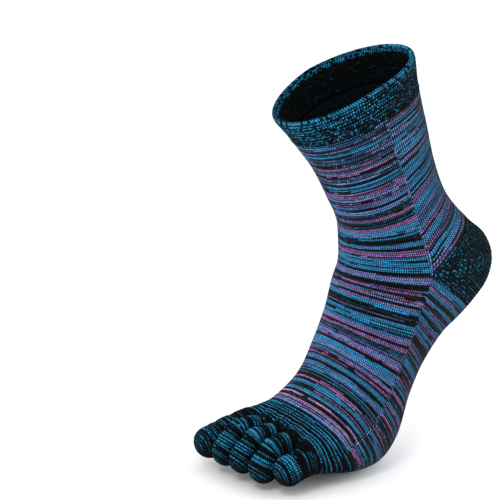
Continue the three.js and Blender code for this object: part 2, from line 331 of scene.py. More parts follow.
def heathered(yarn, spread=0.3, streaks=0.14):
    """Stitch colours. Some dyed lengths take the yarn of the course above, turn dark or take
    the partner yarn. Single stitches take the partner too, and all vary in brightness."""
    dye = lengths(yarn.shape, DYE_RUN)
    yarn = np.where(dye < streaks, np.roll(yarn, 1, axis=0), yarn)
    yarn = np.where(dye > 1 - streaks / 2, BLACK, yarn)
    yarn = np.where(lengths(yarn.shape, PARTNER_RUN) < streaks, PARTNER[yarn], yarn)
    swap = random.random(yarn.shape) < PARTNER_SHARE[yarn] * SINGLE_SHARE
    colour = COLOURS[np.where(swap, PARTNER[yarn], yarn)]
    stitch = random.uniform(1 - spread, 1 + spread, yarn.shape)
    bright = stitch * (DARKEST + SHADE_SPAN * lengths(yarn.shape, SHADE_RUN))
    return colour * bright[..., None]


print("yarns:", LETTERS)

# %% The stripe charts
SIDE_WALE = WALES // 4
FRONT_LEG = """l1 k c1.2 k b1.2 r1.5 s1.5 k t1 c1 k s1.6 k n1.5 s1.6 k.9 s k1.2 p1.7 k t1 p2 k2.5 s1.6 k.9
s1 r1.3 k c1.6 k c1.6 k.6 m1.2 p2 m s l1.5 k1 s1 k.5 p1 k.7 b2.4 k s l1.2 b2.1 n1.5 k2 p2.2 m n1 k1.5 t1.3
k1.4 p2.8 c3.5 l1.5 c1.6 k c1.6 n1 r k2.9 n b3 s1.5 k1.4 m2 p3 k c1.8 k1 c3 r.7 k.9 c3.4 k1.5 m.9"""
FRONT_FOOT = """m1.2 l4 n1.4 k3 r m k1 p1 k.9 r1 k.6 b2.2 p1.8 c1.3 k1.6 p1 c3 k2 n1 k1.3 m1.2 k1.8 c2.4 k
c2.8 n1 b2 l2 p1.6 k1.2 s1.4 p2.4 n1 t2 k.6 m1.8 k1 l3.4 p1.9 k2.5 c4.2 l2.6 c1.1 k1 b1.5 p1.5 k1.8 p1.4
k1.2 c3.6 r1 k1 b2.5 l2 c1.4 k1.4 m.9 k1 t1.8 k1.5 p2.3 k1 c3.2 k1.2 p1 k.9 c2.5 k1 q2.2 k2.3 q1.6 k.5 l3.2"""
BACK_LEG = """k1.5 s1.4 p1.6 k c2 k c1.6 k.6 p1.8 c1.2 k m c2.2 k1 b1.9 l1.6 k c1.6 k c2.8 p1.2 k1.6 c1 p1.4
k1 b1.6 c1.8 k c2.6 b1 k b k1 c1.6 k b1 c3.4 k r b1 k r c m1.2 p2 k1.4 b1 m1.4 c1.8 k c1.6 k b1 m k1.2 c n k
c2 b2 m1.2 k p1.2 k p1 b3 c2.4 p1.4 k p1.2 b k.6 m1.2 k1.4 c3.2 k c2.6 k c1.2 p1 k m1.6 c1 k1.2"""
BACK_FOOT = """c4.6 k1 p1.2 c2.6 k2.4 b1.6 m1.2 k2.4 m k c2 k2.4 c2.2 m1.4 k m k c2.4 k c1.6 m1.2 k2.2 b1
k1.2 m1.4 k1.2 c p1.2 k c2 k t1.2 k c2.4 k b1.2 k1.6 p1.6 k2.4 m k p1.6 k b1.6 k c1.6 k b1.2 k.6 p1.8 k2.4
t1.2 k1.6 c1 p1.8 k1.2 c1.6 k t k p1.2 k1.6 s1.2 k1.4 b1 k s1 k.6 p1.6 k1.6 b2.4 k b1.6 k2.4 t c k1.6 c1.6 k
b1.6 k p2.4 k2.4"""


def striped(front_chart, back_chart, count, across):
    """The yarn of every stitch: the halves meet at the side lines, a wale to and fro, and
    there two stitches in every four courses are of the yarn that crosses over."""
    course, wale = np.arange(count)[:, None], np.arange(WALES)[None]
    from_front = np.minimum(wale, WALES - 1 - wale)
    to_and_fro = (course // 2) % 2
    is_front = from_front < SIDE_WALE + to_and_fro
    yarn = np.where(is_front, stripes(front_chart, count)[:, None], stripes(back_chart, count)[:, None])
    crossing = (from_front - SIDE_WALE == to_and_fro) & (course % 4 < 2)
    return np.where(crossing, LETTERS.index(across), yarn)


print("stripes in front:", len((FRONT_LEG + " " + FRONT_FOOT).split()))

# %% [markdown]
# ## From a grid to a closed shell
# Every knitted piece is a wall with two faces. Doubling the fine grid would waste half its
# triangles on a face that hardly shows, so the inner wall is a coarser grid and narrow
# strips join the two at their edges. The shell is closed, which a mesh needs to be printed
# or measured.

# %% Faces of a grid and of its edges


def quads(first, rows, columns, closed, inwards=False):
    """Corner numbers of a grid's faces, turned so that they look outwards."""
    across = np.arange(columns if closed else columns - 1)
    i, j = np.meshgrid(np.arange(rows - 1), across, indexing="ij")
    k = (j + 1) % columns
    order = [i * columns + j, (i + 1) * columns + j, (i + 1) * columns + k, i * columns + k]
    return first + np.stack(order[::-1] if inwards else order, -1).reshape(-1, 4)


def strip(outer, inner, ratio):
    """Faces between two edges: each step of the inner edge spans ratio steps of the outer."""
    steps = np.arange(len(inner) - 1)
    spans = outer[steps[:, None] * ratio + np.arange(ratio + 1)]
    return np.hstack([spans, inner[steps + 1][:, None], inner[steps][:, None]])


def ring(first, count, closed):
    """Numbers of the points along an edge, with the first again at the end of a closed one."""
    numbers = first + np.arange(count)
    return np.append(numbers, first) if closed else numbers


# %% One mesh from points and faces


def make_piece(name, points, faces, slots, looks):
    """A mesh object from points in mm and lists of equal-sided faces."""
    mesh = bpy.data.meshes.new(name)
    counts = [len(f) for f in faces]
    sides = np.repeat([f.shape[1] for f in faces], counts)
    corners = np.concatenate([f.ravel() for f in faces])
    mesh.vertices.add(len(points))
    mesh.vertices.foreach_set("co", (points * MM).astype(np.float32).ravel())
    mesh.loops.add(len(corners))
    mesh.loops.foreach_set("vertex_index", corners.astype(np.int32))
    mesh.polygons.add(len(sides))
    mesh.polygons.foreach_set("loop_start", np.append(0, np.cumsum(sides)[:-1]).astype(np.int32))
    mesh.polygons.foreach_set("material_index", np.repeat(slots, counts).astype(np.int32))
    mesh.polygons.foreach_set("use_smooth", np.ones(len(sides), bool))
    mesh.update(calc_edges=True)
    for look in looks:
        mesh.materials.append(look)
    piece = bpy.data.objects.new(name, mesh)
    bpy.context.collection.objects.link(piece)
    return piece


# %% Stitch colours and the stitch map
UNSEEN = 0.02  # linear grey of the corners that no stitch colours


def paint(piece, colour, stitches):
    """Corner colours and the stitch map for the outer faces, which come first. The other
    corners stay dark."""
    mesh = piece.data
    count = len(mesh.loops)
    shown = colour.reshape(-1, 3)
    colours = np.full((count, 4), UNSEEN)
    colours[: len(shown), :3] = shown
    colours[:, 3] = 1
    mesh.color_attributes.new("yarn", "FLOAT_COLOR", "CORNER").data.foreach_set(
        "color", colours.astype(np.float32).ravel())
    places = np.zeros((count, 2))
    places[: len(shown)] = stitches.reshape(-1, 2)
    mesh.uv_layers.new(name="stitches").data.foreach_set("uv", places.astype(np.float32).ravel())


def corner_looks(stitch_colour, columns, courses):
    """Colours and stitch places of the four corners of every outer face: the face takes its
    stitch's colour, and its place counts wales across and courses down. courses holds the
    course of each row, or of each point."""
    j = np.arange(columns)
    colour = np.repeat(stitch_colour[:, j // SAMPLES][:, :, None], 4, axis=2)
    u = np.stack([j, j, j + 1, j + 1], -1) / SAMPLES
    at = courses.reshape(len(courses), -1) + np.zeros(columns + 1)
    v = np.stack([at[:-1, :-1], at[1:, :-1], at[1:, 1:], at[:-1, 1:]], -1)
    places = np.stack(np.broadcast_arrays(u[None], v), -1)
    return np.clip(colour, 0, 1), places


# %% A closed wall


def shell(name, outer, inner, looks, colour, courses, closed=True):
    """A closed wall from an outer grid and a coarser inner one, painted with stitch colours."""
    rows, columns = outer.shape[:2]
    inner_rows, inner_columns = inner.shape[:2]
    start = rows * columns
    top = strip(ring(0, columns, closed), ring(start, inner_columns, closed), COARSE)
    last_outer = ring(start - columns, columns, closed)
    last_inner = ring(start + (inner_rows - 1) * inner_columns, inner_columns, closed)
    bottom = strip(last_outer, last_inner, COARSE)[:, ::-1]
    outside, inside = quads(0, rows, columns, closed), quads(start, inner_rows, inner_columns, closed, True)
    faces = [outside, inside, top, bottom]
    if not closed:
        ratio = (rows - 1) // (inner_rows - 1)
        down, down_inside = np.arange(rows) * columns, start + np.arange(inner_rows) * inner_columns
        faces.append(strip(down, down_inside, ratio)[:, ::-1])
        faces.append(strip(down + columns - 1, down_inside + inner_columns - 1, ratio))
    points = np.vstack([outer.reshape(-1, 3), inner.reshape(-1, 3)])
    piece = make_piece(name, points, faces, [0] + [1] * (len(faces) - 1), looks)
    paint(piece, *corner_looks(colour, columns if closed else columns - 1, courses))
    print(f"{name}: {len(points)} points, {sum(len(f) * (f.shape[1] - 2) for f in faces)} triangles")
    return piece


def inner_wall(row):
    """The hidden side of the wall: every sixth row and column of the grid and the last row,
    set in by the wall's thickness."""
    keep = np.unique(np.append(np.arange(0, len(row), COARSE), len(row) - 1))
    some = row[keep][:, 1::COARSE]
    angle = np.broadcast_to(ANGLES[::COARSE], some.shape)
    return surface(some, angle) - outward(some, angle) * WALL


# %% [markdown]
# ## Cotton yarn, knitted
# The sock is combed cotton with some nylon, plain knitted. Cotton has no gloss: it scatters
# light softly and its fuzz gives a faint pale sheen at grazing angles. The colour comes from
# the stitches' own attribute. The stitch map, whose unit is one wale by one course, shapes
# each loop: bright along its middle, darkened by painted shade where it slips under its
# neighbours, and raised by bump in the same way.

# %% Small helpers for nodes


def plug(tree, node, inputs):
    """Set a node's inputs, each to a value or linked to an output. A node given as an input
    stands for its first output."""
    for socket, value in inputs.items():
        if isinstance(value, bpy.types.Node):
            value = value.outputs[0]
        if isinstance(value, bpy.types.NodeSocket):
            tree.links.new(node.inputs[socket], value)
        else:
            node.inputs[socket].default_value = value


def add(tree, kind, inputs, **settings):
    """A shader node with its settings and inputs."""
    node = tree.nodes.new("ShaderNode" + kind)
    for name, value in settings.items():
        setattr(node, name, value)
    plug(tree, node, inputs)
    return node


def matt(name, roughness, specular, sheen):
    """A new material with its gloss set, its node tree and its shader."""
    look = bpy.data.materials.new(name)
    look.use_nodes = True
    shader = look.node_tree.nodes["Principled BSDF"]
    plug(look.node_tree, shader, {
        "Roughness": roughness, "Specular IOR Level": specular, "Sheen Weight": sheen,
        "Sheen Roughness": 0.5})
    return look, look.node_tree, shader


# %% The knitted cotton
# At this distance a wale is under three pixels, so the gap is drawn wider than the real one.
LEAN = -0.55  # share of a wale by which a loop leans from its head to its foot
GAP, GAP_PAINTED_SHADE = (0.12, 0.4), 0.03  # from painted shade to full colour, in shares of a wale, and how dark the painted shade is
LOOP_COURSES = 2  # a loop is drawn this tall, because one course is barely a pixel
LOOP_END, END_PAINTED_SHADE = 0.2, 0.35  # the loop's ends darkened by painted shade, in shares of its height, and how dark
STRAND_DEPTH = 0.0003  # m
FIBRE_STRETCH, FIBRE_SHADES, FIBRE_ROUGHNESS = (6.0, 1.5, 1.0), (0.6, 1.4), 0.06


def cotton_knit(name, roughness, sheen):
    """Plain-knit cotton: matt yarn with faint fuzz. A loop is bright along its middle and
    darkened by painted shade towards its sides and ends, and its height follows the same curve."""
    look, tree, shader = matt(name, roughness, 0.08, sheen)
    yarn = add(tree, "VertexColor", {}, layer_name="yarn")
    place = add(tree, "UVMap", {}, uv_map="stitches")
    parts = add(tree, "SeparateXYZ", {0: place})
    # Fibres: streaks a sixth of a wale wide, about 0.25 mm, that vary the dye and the roughness
    stretch = add(tree, "Mapping", {"Vector": place, "Scale": FIBRE_STRETCH})
    fibres = add(tree, "TexNoise", {"Vector": stretch, "Scale": 1.0, "Detail": 3.0})
    low, high = roughness - FIBRE_ROUGHNESS, roughness + FIBRE_ROUGHNESS
    depth = add(tree, "MapRange", {"Value": fibres, "To Min": FIBRE_SHADES[0], "To Max": FIBRE_SHADES[1]})
    rough = add(tree, "MapRange", {"Value": fibres, "To Min": low, "To Max": high})
    courses = add(tree, "Math", {0: parts.outputs["Y"], 1: LOOP_COURSES}, operation="DIVIDE")
    loop = add(tree, "Math", {0: courses}, operation="FRACT")
    leaning = add(tree, "Math", {0: loop, 1: LEAN, 2: parts.outputs["X"]}, operation="MULTIPLY_ADD")
    across = add(tree, "Math", {0: leaning, 1: 0.5}, operation="PINGPONG")
    along = add(tree, "Math", {0: loop, 1: 0.5}, operation="PINGPONG")
    # side and end are painted shade: the colour darkens towards the gaps between wales and at the loop's ends
    side = add(
        tree, "MapRange", {"Value": across, "From Min": GAP[0], "From Max": GAP[1], "To Min": GAP_PAINTED_SHADE},
        interpolation_type="SMOOTHSTEP")
    end = add(
        tree, "MapRange", {"Value": along, "From Max": LOOP_END, "To Min": END_PAINTED_SHADE},
        interpolation_type="SMOOTHSTEP")
    # height is the loop's bump height and also the painted shade that darkens its colour
    height = add(tree, "Math", {0: side, 1: end}, operation="MULTIPLY")
    painted_shade_and_fibre_tone = add(tree, "Math", {0: height, 1: depth}, operation="MULTIPLY")
    # dyed is the yarn colour times the painted shade and the fibres' tone
    dyed = add(tree, "VectorMath", {0: yarn, 1: painted_shade_and_fibre_tone}, operation="MULTIPLY")
    bump = add(tree, "Bump", {"Height": height, "Strength": 0.6, "Distance": STRAND_DEPTH})
    plug(tree, shader, {"Base Color": dyed, "Roughness": rough, "Normal": bump})
    return look


STRIPED = cotton_knit("combed_cotton_plain_knit", 0.9, 0.04)
DARK = cotton_knit("combed_cotton_dark_knit", 0.92, 0.0)
print("materials:", STRIPED.name, DARK.name)

# %% [markdown]
# ## The reverse of the knit
# Inside, plain knit shows purl bumps. Its colour is near black, painted shade for the dark
# inside of the sock. It only shows down the leg, so it needs no stitch map: a cell pattern
# with the spacing of the purls gives the same dull grain.

# %% The reverse
PURLS_PER_METRE = 700.0  # one every 1.4 mm


def reverse_knit_in_painted_shade():
    """The wrong side of the sock: purl bumps, coloured near black as painted shade
    inside the sock."""
    look, tree, shader = matt("cotton_knit_reverse_painted_shade", 0.95, 0.05, 0.0)
    place = add(tree, "TexCoord", {})
    purls = add(tree, "TexVoronoi", {"Vector": place.outputs["Object"], "Scale": PURLS_PER_METRE})
    ramp = add(tree, "ValToRGB", {"Fac": purls})
    # near-black colours: painted shade for the inside of the sock
    ramp.color_ramp.elements[0].color = (*linear("#0b141c"), 1)
    ramp.color_ramp.elements[1].color = (*linear("#030508"), 1)
    bump = add(tree, "Bump", {"Height": purls, "Strength": 0.5, "Distance": STRAND_DEPTH})
    plug(tree, shader, {"Base Color": ramp, "Normal": bump})
    return look


REVERSE_IN_PAINTED_SHADE = reverse_knit_in_painted_shade()
print("material:", REVERSE_IN_PAINTED_SHADE.name)

# %% [markdown]
# ## The leg and the foot
# One tube from the cuff to the toe seam. It is made as two meshes that share a course, so
# that each stays light enough to handle. Along each side line a column of raised loops
# carries the yarn from one half to the other.

# %% Knit the leg and the foot
SIDE_LOOP_HEIGHT, SIDE_LOOP_BEAT = 0.5, 3  # mm, and courses from one loop to the next


def side_loops(count):
    """How far the side line's loops stand out in mm: every third course, a bell curve one
    wale wide."""
    wale = np.arange(COLUMNS) / SAMPLES
    from_side = np.minimum(np.abs(wale - SIDE_WALE), np.abs(wale - 3 * SIDE_WALE))
    beat = np.arange(count + 1)[:, None] % SIDE_LOOP_BEAT == 0
    return SIDE_LOOP_HEIGHT * np.exp(-(from_side**2)) * beat


def knitted_tube(name, rows, front_chart, back_chart, first_course, across):
    """A striped stretch of the sock, from its rows and the charts of its two halves."""
    count = len(rows) - 1
    colour = heathered(striped(front_chart, back_chart, count, across))
    piece = shell(
        name, knit(rows, side_loops(count)), inner_wall(rows), [STRIPED, REVERSE_IN_PAINTED_SHADE], colour,
        first_course + np.arange(count + 1))
    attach(piece, "root")
    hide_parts("leg_and_foot")


knitted_tube("leg", leg_rows, FRONT_LEG, BACK_LEG, 0, "l")
knitted_tube("foot", foot_rows, FRONT_FOOT, BACK_FOOT, leg_count, "s")

# %% [markdown]
# ## The heel pocket
# The heel is turned with short rows: each course stops a stitch earlier than the last, up to
# a line straight back from the corner, and then they lengthen again. So the courses run
# beside the upper edge above that line and beside the lower edge below it. The grid simply
# fills the space between the two edges, and the stitch colours are looked up by the distance
# from the nearer edge, which gives the mitre for nothing.

# %% The heel's grid
HEEL_STEPS, HEEL_COLUMNS = 96, 361  # 96 steps down and 360 across, which divide by the coarse step
CORNER_GAP = 0.004  # radians from the side line, where the two edges would meet in a point
MITRE_DEPTH, MITRE_WIDTH, COURSE_RELIEF = 0.45, 1.6, 0.12  # mm
FLECK_BEAT = 3  # courses from one flecked course to the next
heel_angles = np.linspace(np.pi / 2 + CORNER_GAP, 3 * np.pi / 2 - CORNER_GAP, HEEL_COLUMNS)
heel_groove = np.arange(HEEL_COLUMNS) % SAMPLES == 0
heel_rows = even_rows(
    heel_edge(heel_angles, HEEL_TOP, UPPER_BETWEEN),
    heel_edge(heel_angles, HEEL_BOTTOM, LOWER_BETWEEN), heel_angles,
    np.linspace(0, 1, HEEL_STEPS + 1)[:, None])


def edge_distance(point, degrees):
    """How far a point lies in mm from the plane of a heel edge."""
    slope = np.radians(degrees)
    away = point - CORNER
    return np.abs(away[..., 2] * np.cos(slope) - away[..., 0] * np.sin(slope))


def heel_grids():
    """The outer and inner grids, and each point's distance from the nearer edge and from the
    mitre. The mitre is sunk by a bell curve, the courses rise by a cosine."""
    angle = np.broadcast_to(heel_angles, heel_rows.shape)
    bare = surface(heel_rows, angle)
    normal = outward(heel_rows, angle)
    from_top, from_bottom = edge_distance(bare, HEEL_TOP), edge_distance(bare, HEEL_BOTTOM)
    near, mitre = np.minimum(from_top, from_bottom), np.abs(from_top - from_bottom)
    gore = MITRE_DEPTH * np.exp(-((mitre / MITRE_WIDTH) ** 2))
    course_wave = COURSE_RELIEF * np.cos(2 * np.pi * near / (FLECK_BEAT * COURSE))
    depth = course_wave - GROOVE * heel_groove - gore
    return bare + normal * depth[..., None], (bare - normal * WALL)[::COARSE, ::COARSE], near, mitre


# %% Knit the heel
MOST_COURSES = 200  # more than the heel has
FLECK_GAIN, BACK_GAIN = 0.3, 0.25  # what a flecked course adds to the chance, and more at the back
TEAL_FROM, AQUA_FROM = 0.6, 1.02
DARK_SPREAD, DARK_STREAKS = 0.4, 0.05  # how unevenly the dark yarns are dyed


def heel_colours(near, mitre):
    """Stitch colours by the course that the distance from the nearer edge gives. Every third
    course is flecked, and every third stitch of the mitre is a cyan one."""
    towards_back = np.sin(np.pi * np.arange(WALES) * SAMPLES / HEEL_COLUMNS)
    beat = np.arange(MOST_COURSES)[:, None] % FLECK_BEAT == 0
    fleck = random.random((MOST_COURSES, WALES)) + beat * (FLECK_GAIN + BACK_GAIN * towards_back)
    yarn = np.array([BLACK, DEEP_TEAL, AQUA])[(fleck > TEAL_FROM) * 1 + (fleck > AQUA_FROM)]
    course = (near[:-1, ::SAMPLES] / COURSE).astype(int)
    wales = np.arange(course.shape[1])
    colour = heathered(yarn, DARK_SPREAD, DARK_STREAKS)[course, wales]
    stitched = (mitre[:-1, ::SAMPLES] < COURSE) & (wales % 3 == 0)
    colour[stitched] = COLOURS[CYAN]
    return colour


heel_outer, heel_inner, near_edge, near_mitre = heel_grids()
heel = shell(
    "heel", heel_outer, heel_inner, [DARK, REVERSE_IN_PAINTED_SHADE], heel_colours(near_edge, near_mitre),
    near_edge / COURSE, closed=False)
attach(heel, "root")
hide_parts("heel_pocket")

# %% [markdown]
# ## The cuff
# The cuff is a band folded double, so it is thicker than the leg and ends in a rolled rim.
# Raised courses run round it below the rim. The section is one closed loop: up the inside,
# over the roll and down the outside, carried along the rim, so it needs no cap.

# %% The cuff's section
ROLL, ROLL_RISE = CUFF_WALL / 2, 1.15  # mm, and how much higher than a half circle
RIDGE_STEP, FIRST_RIDGE = 2.5, 2.9  # mm
RIDGE_HEIGHTS = np.array([0.55, 0.5, 0.45, 0.35, 0.25, 0.2, 0.2])
RIDGE_WIDTH, BAND_DEPTH = 0.75, 0.25  # mm, half a ridge, and how deep the band lies between them
RIDGES = FIRST_RIDGE + RIDGE_STEP * np.arange(len(RIDGE_HEIGHTS))
HEM_RISE, HEM_AT, HEM_SLOPE = 0.45, 19.5, 1.5  # mm out, from where, over how far
CUFF_RIB = 1.6 * GROOVE  # mm, deeper than on the leg
INSIDE_ROWS, ROLL_ROWS, OUTSIDE_ROWS = 26, 8, 30
RIM_GAP = 0.6  # mm from the last inside row to the roll


def cuff_profile():
    """Distance down, depth below the outer surface, and rise over it in mm, all the way round
    the section: inside up, half circle over the rim, outside down with its ridges."""
    turn = np.linspace(np.pi, 0, ROLL_ROWS + 1)
    outside = np.linspace(ROLL, CUFF_HEIGHT, OUTSIDE_ROWS + 1)[1:]
    inside = np.linspace(CUFF_HEIGHT, ROLL + RIM_GAP, INSIDE_ROWS)
    down = np.concatenate([inside, np.full(ROLL_ROWS + 1, ROLL), outside])
    ridge = (RIDGE_HEIGHTS * np.exp(-(((outside[:, None] - RIDGES) / RIDGE_WIDTH) ** 2))).sum(1)
    hem = HEM_RISE * np.clip((outside - HEM_AT) / HEM_SLOPE, 0, 1)
    over = ROLL * (1 - np.cos(turn))
    depth = np.concatenate([np.full(INSIDE_ROWS, CUFF_WALL), over, BAND_DEPTH - ridge - hem])
    rise = np.concatenate([np.zeros(INSIDE_ROWS), ROLL_RISE * ROLL * np.sin(turn), np.zeros(OUTSIDE_ROWS)])
    return down, depth, rise


def cuff_grid(down, depth, rise):
    """The section carried round the rim. Over the roll the wales slant by a stitch."""
    slant = np.clip((np.arange(len(down)) - INSIDE_ROWS) / ROLL_ROWS, 0, 1) * 2 * np.pi / WALES
    angle = ANGLES[None] + slant[:, None]
    row = np.broadcast_to(row_at(down)[:, None], angle.shape)
    up = surface(0, angle) - surface(row_at(ROLL), angle)
    up /= np.linalg.norm(up, axis=-1, keepdims=True)
    rib = np.where(depth < CUFF_WALL, CUFF_RIB, 0)[:, None] * IN_GROOVE
    sunk = depth[:, None] + rib
    return surface(row, angle) - outward(row, angle) * sunk[..., None] + up * rise[:, None, None]


# %% The cuff's yarn
RIDGE_SHARES = np.array([0.58, 0.5, 0.42, 0.32, 0.3, 0.28, 0.26])  # of its stitches that are bright
BETWEEN_SHARE, ROLL_SHARE, BEAD_SHARE = 0.08, 0.8, 0.6
BEAD_ROWS, INSIDE_PAINTED_SHADE = 4, 0.4  # bright rows inside the rim, and the painted shade that darkens the rest of the inside
INSIDE_TEAL, RIDGE_TEAL, BETWEEN_TEAL = 0.12, 0.7, 0.25  # of the stitches that aren't bright
CUFF_RUN, MOST_CHANCE, RUN_CHANCE = 20, 1.15, 0.3  # a dyed length's stitches, and its sway


def cuff_yarn(down):
    """Bright stitches on the ridges, over the roll and in a few rows inside it, and near
    black elsewhere; inside the cuff below those rows the near black is painted shade. A stitch keeps its yarn
    all the way over the roll."""
    middle = (down[:-1] + down[1:]) / 2
    near = np.abs(middle[:, None] - RIDGES)
    on_ridge = near.min(1) < RIDGE_WIDTH
    ridge = np.where(on_ridge, RIDGE_SHARES[near.argmin(1)], BETWEEN_SHARE)
    row = np.arange(len(middle))
    on_roll = (row >= INSIDE_ROWS) & (row < INSIDE_ROWS + ROLL_ROWS)
    inside = row < INSIDE_ROWS
    # inside the cuff no stitch is bright: near-black painted shade, apart from the bright rows at the rim
    share = np.where(inside, 0.0, ridge)
    shape = (len(middle), WALES)
    chance = random.random(shape) * (MOST_CHANCE - RUN_CHANCE * lengths(shape, CUFF_RUN))
    chance[on_roll] = random.random(WALES)
    share[on_roll] = ROLL_SHARE
    share[INSIDE_ROWS - BEAD_ROWS : INSIDE_ROWS] = BEAD_SHARE
    teal_share = np.where(inside, INSIDE_TEAL, np.where(on_ridge, RIDGE_TEAL, BETWEEN_TEAL))
    teal = random.random(shape) < teal_share[:, None]
    plain = np.where(teal, DEEP_TEAL, BLACK)
    return np.where(chance < share[:, None], AQUA, plain)


# %% Knit the cuff
cuff_section = cuff_profile()
cuff_points = cuff_grid(*cuff_section)
cuff_rings = len(cuff_points)
first_ring = np.arange(COLUMNS)
last_ring = first_ring + (cuff_rings - 1) * COLUMNS
hem_faces = np.stack([last_ring, first_ring, np.roll(first_ring, -1), np.roll(last_ring, -1)], -1)
cuff_faces = [quads(0, cuff_rings, COLUMNS, True), hem_faces]
cuff = make_piece("cuff_knit_band", cuff_points.reshape(-1, 3), cuff_faces, [0, 0], [DARK])
cuff_courses = LOOP_COURSES * (cuff_section[0] - FIRST_RIDGE + RIDGE_STEP / 2) / RIDGE_STEP
over_roll = np.arange(INSIDE_ROWS, INSIDE_ROWS + ROLL_ROWS + 1)
cuff_courses[over_roll] = np.linspace(-2 * LOOP_COURSES, 0, ROLL_ROWS + 1)
cuff_colour = heathered(cuff_yarn(cuff_section[0]), DARK_SPREAD, DARK_STREAKS)
# painted shade: the inside below the bright rows is darkened further
cuff_colour[: INSIDE_ROWS - BEAD_ROWS] *= INSIDE_PAINTED_SHADE
paint(cuff, *corner_looks(cuff_colour, COLUMNS, cuff_courses))
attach(cuff, "root")
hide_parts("cuff")
print("cuff:", cuff_rings, "rings")

# %% [markdown]
# ## The forefoot
# Past the toe seam the yarn is nearly black, with thin cyan courses a few millimetres apart.
# The forefoot narrows to a rounded edge between the toes, where each pocket starts. It could
# be merged with the toes, but a real one is knitted first and the pockets grow out of it, so
# they are separate pieces whose roots sit inside it.

# %% The forefoot's grid
NOSE_LENGTH, NOSE_ROWS = 6.0, 9  # mm
NOSE_AHEAD, NOSE_END, NOSE_NARROWING = np.array([-0.97, 0, -0.24]), 0.25, 0.04
KNUCKLE_DIP, KNUCKLE_RISE = 3.2, 1.6  # mm
forefoot_count = courses_between(SEAM_AT, ROOT_AT)
TOE_CENTRES = np.array([0.389, 0.178, -0.011, -0.203, -0.402]) * WIDTH
TOE_HALVES = np.array([0.114, 0.092, 0.092, 0.094, 0.099]) * WIDTH


def scallop(y):
    """How far a point lies from the nearest toe's middle, 0 there and 1 between two toes."""
    off = np.abs(y[..., None] - TOE_CENTRES) / TOE_HALVES
    return np.clip(off.min(-1), 0, 1)


def forefoot_grid():
    """Courses from the toe seam to the toe roots, then a nose that closes round them. With
    the cube of the way along, the knuckles rise on top and the dips between them deepen."""
    share = (np.arange(forefoot_count + 1)[:, None] - CHEVRON * IN_GROOVE) / forefoot_count
    share[0] = 0
    row = row_at(SEAM_AT + np.clip(share, 0, 1) * (ROOT_AT - SEAM_AT))
    body = knit(row)
    side_on = np.abs(np.cos(ANGLES)) ** 0.5
    between = scallop(body[..., 1]) ** 2
    on_top = np.clip(np.cos(ANGLES), 0, 1) ** 0.5
    sunk = KNUCKLE_DIP * between * side_on - KNUCKLE_RISE * (1 - between) * on_top
    dip = np.clip(share, 0, 1) ** 3 * sunk
    body -= outward(row, np.broadcast_to(ANGLES, row.shape)) * dip[..., None]
    last = body[-1]
    centre = last.mean(0) * [1, 0, 1] + last * [0, 1, 0]
    turn = np.linspace(0, np.pi / 2, NOSE_ROWS + 1)[1:, None, None]
    closing = NOSE_END + (1 - NOSE_END) * np.cos(turn)
    nose = centre + (last - centre) * closing + NOSE_AHEAD * NOSE_LENGTH * np.sin(turn)
    nose[..., 1] *= 1 - NOSE_NARROWING * np.sin(turn[..., 0])
    return np.vstack([body, nose])


# %% Knit the forefoot
FOREFOOT = "n1.2 k1.6 c k2 a k1.8 c k2.1 a k2.4 c k1.9 a k2.2 a k2"
forefoot_outer = forefoot_grid()
last_row = len(forefoot_outer) - 1
forefoot_yarn = np.full((last_row, WALES), BLACK)
forefoot_yarn[:forefoot_count] = stripes(FOREFOOT, forefoot_count)[:, None]
inner_rows = np.unique(np.append(np.arange(0, len(forefoot_outer), COARSE), last_row))
coarse_grid = forefoot_outer[:, ::COARSE][inner_rows]
forefoot_middle = coarse_grid.mean(1, keepdims=True) * [1, 0, 1]
toward = coarse_grid - forefoot_middle
forefoot_inner = forefoot_middle + toward * (1 - WALL / np.linalg.norm(toward, axis=-1, keepdims=True))
forefoot = shell(
    "forefoot_knit", forefoot_outer, forefoot_inner, [DARK, REVERSE_IN_PAINTED_SHADE],
    heathered(forefoot_yarn, DARK_SPREAD, DARK_STREAKS), np.arange(last_row + 1))
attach(forefoot, "root")
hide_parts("forefoot")

# %% [markdown]
# ## The toe pockets
# Each toe is a little tube closed over the tip. Worn, it folds across at the joints of the
# toe, so its girth swells and dips along the way, most on top. Thin cyan and black courses
# run round it; painted shade darkens its flanks, its underside and its folds, and painted
# light brightens its top. A chain of balls would give the swell, but one grid from root to
# tip keeps the courses in line.

# %% Toe sizes and charts
TOE_WALES = 36
TOE_COLUMNS = TOE_WALES * SAMPLES
TOE_OVERLAP, TOE_GAP = 12.0, 0.15  # mm inside the forefoot, and clearance at each side
ROOT_SIZE, DOME_ROWS, DOME_POWER = 0.6, 18, 0.9  # share of full size inside the forefoot; the tip
LEAST_HALF = 0.2  # mm that a section keeps where it is sunk furthest
LINE_STEP = 0.01  # of a stretch of the middle line, to measure its direction
# Folds across a toe: how far along from root to tip, and how deep as a share of its deepest
FOLDS = [(0.03, 1.0), (0.2, 0.35), (0.36, 1.0), (0.51, 0.35), (0.66, 0.9), (0.84, 0.3)]
FOLD_WIDTH = 0.07
